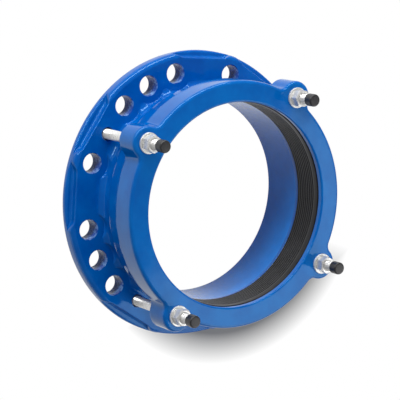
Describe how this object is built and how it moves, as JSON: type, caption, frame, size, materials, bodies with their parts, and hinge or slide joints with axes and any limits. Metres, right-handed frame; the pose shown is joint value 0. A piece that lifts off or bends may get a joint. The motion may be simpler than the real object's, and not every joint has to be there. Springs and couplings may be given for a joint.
{
  "type": "flange adaptor",
  "caption": "Cast flange with a neck and bell, and a lugged gland ring that clamps a rubber gasket onto a plain pipe end with capped through bolts.",
  "frame": {"origin": "centre of the flange's mating face, on the axis of the bore", "axes": "+Z along the bore axis from the mating face to the gland ring, where the pipe comes in; +X through one of the flange bolt holes, with the clamp bolts on the diagonals between X and Y"},
  "size_m": [0.34, 0.34, 0.146],
  "materials": {
    "blue_epoxy": "glossy epoxy",
    "black_rubber": "matte",
    "zinc_steel": "satin zinc",
    "black_plastic": "satin"
  },
  "bodies": {
    "adaptor_body": {"flange_body": "blue_epoxy", "gasket": "black_rubber", "clamp_bolt_1": "zinc_steel", "clamp_bolt_2": "zinc_steel", "clamp_bolt_3": "zinc_steel", "clamp_bolt_4": "zinc_steel"},
    "gland": {"gland_ring": "blue_epoxy", "washer_1": "zinc_steel", "washer_2": "zinc_steel", "washer_3": "zinc_steel", "washer_4": "zinc_steel"},
    "nut_1": {"nut_1": "zinc_steel"},
    "nut_2": {"nut_2": "zinc_steel"},
    "nut_3": {"nut_3": "zinc_steel"},
    "nut_4": {"nut_4": "zinc_steel"},
    "thread_cap_1": {"thread_cap_1": "black_plastic"},
    "thread_cap_2": {"thread_cap_2": "black_plastic"},
    "thread_cap_3": {"thread_cap_3": "black_plastic"},
    "thread_cap_4": {"thread_cap_4": "black_plastic"}
  },
  "joints": [
    {"name": "gland_travel", "type": "slide", "parent": "adaptor_body", "child": "gland", "axis": [0, 0, -1], "range_m": [0, 0.008], "stiffness_N_per_m": 10000, "springref_m": -0.005, "deforming": ["gasket"]},
    {"name": "nut_1_turn", "type": "hinge", "parent": "gland", "child": "nut_1", "pos_m": [0.10147, 0.10147, 0.1125], "axis": [0, 0, 1], "range_deg": [-1650, 0]},
    {"name": "nut_2_turn", "type": "hinge", "parent": "gland", "child": "nut_2", "pos_m": [-0.10147, 0.10147, 0.1125], "axis": [0, 0, 1], "range_deg": [-1650, 0]},
    {"name": "nut_3_turn", "type": "hinge", "parent": "gland", "child": "nut_3", "pos_m": [-0.10147, -0.10147, 0.1125], "axis": [0, 0, 1], "range_deg": [-1650, 0]},
    {"name": "nut_4_turn", "type": "hinge", "parent": "gland", "child": "nut_4", "pos_m": [0.10147, -0.10147, 0.1125], "axis": [0, 0, 1], "range_deg": [-1650, 0]},
    {"name": "thread_cap_1_pull", "type": "slide", "parent": "adaptor_body", "child": "thread_cap_1", "axis": [0, 0, 1], "range_m": [0, 0.01]},
    {"name": "thread_cap_2_pull", "type": "slide", "parent": "adaptor_body", "child": "thread_cap_2", "axis": [0, 0, 1], "range_m": [0, 0.01]},
    {"name": "thread_cap_3_pull", "type": "slide", "parent": "adaptor_body", "child": "thread_cap_3", "axis": [0, 0, 1], "range_m": [0, 0.01]},
    {"name": "thread_cap_4_pull", "type": "slide", "parent": "adaptor_body", "child": "thread_cap_4", "axis": [0, 0, 1], "range_m": [0, 0.01]}
  ],
  "couplings": [
    {"joint": "nut_1_turn", "follows": "gland_travel", "rad_per_m": -3590.4},
    {"joint": "nut_2_turn", "follows": "gland_travel", "rad_per_m": -3590.4},
    {"joint": "nut_3_turn", "follows": "gland_travel", "rad_per_m": -3590.4},
    {"joint": "nut_4_turn", "follows": "gland_travel", "rad_per_m": -3590.4}
  ]
}
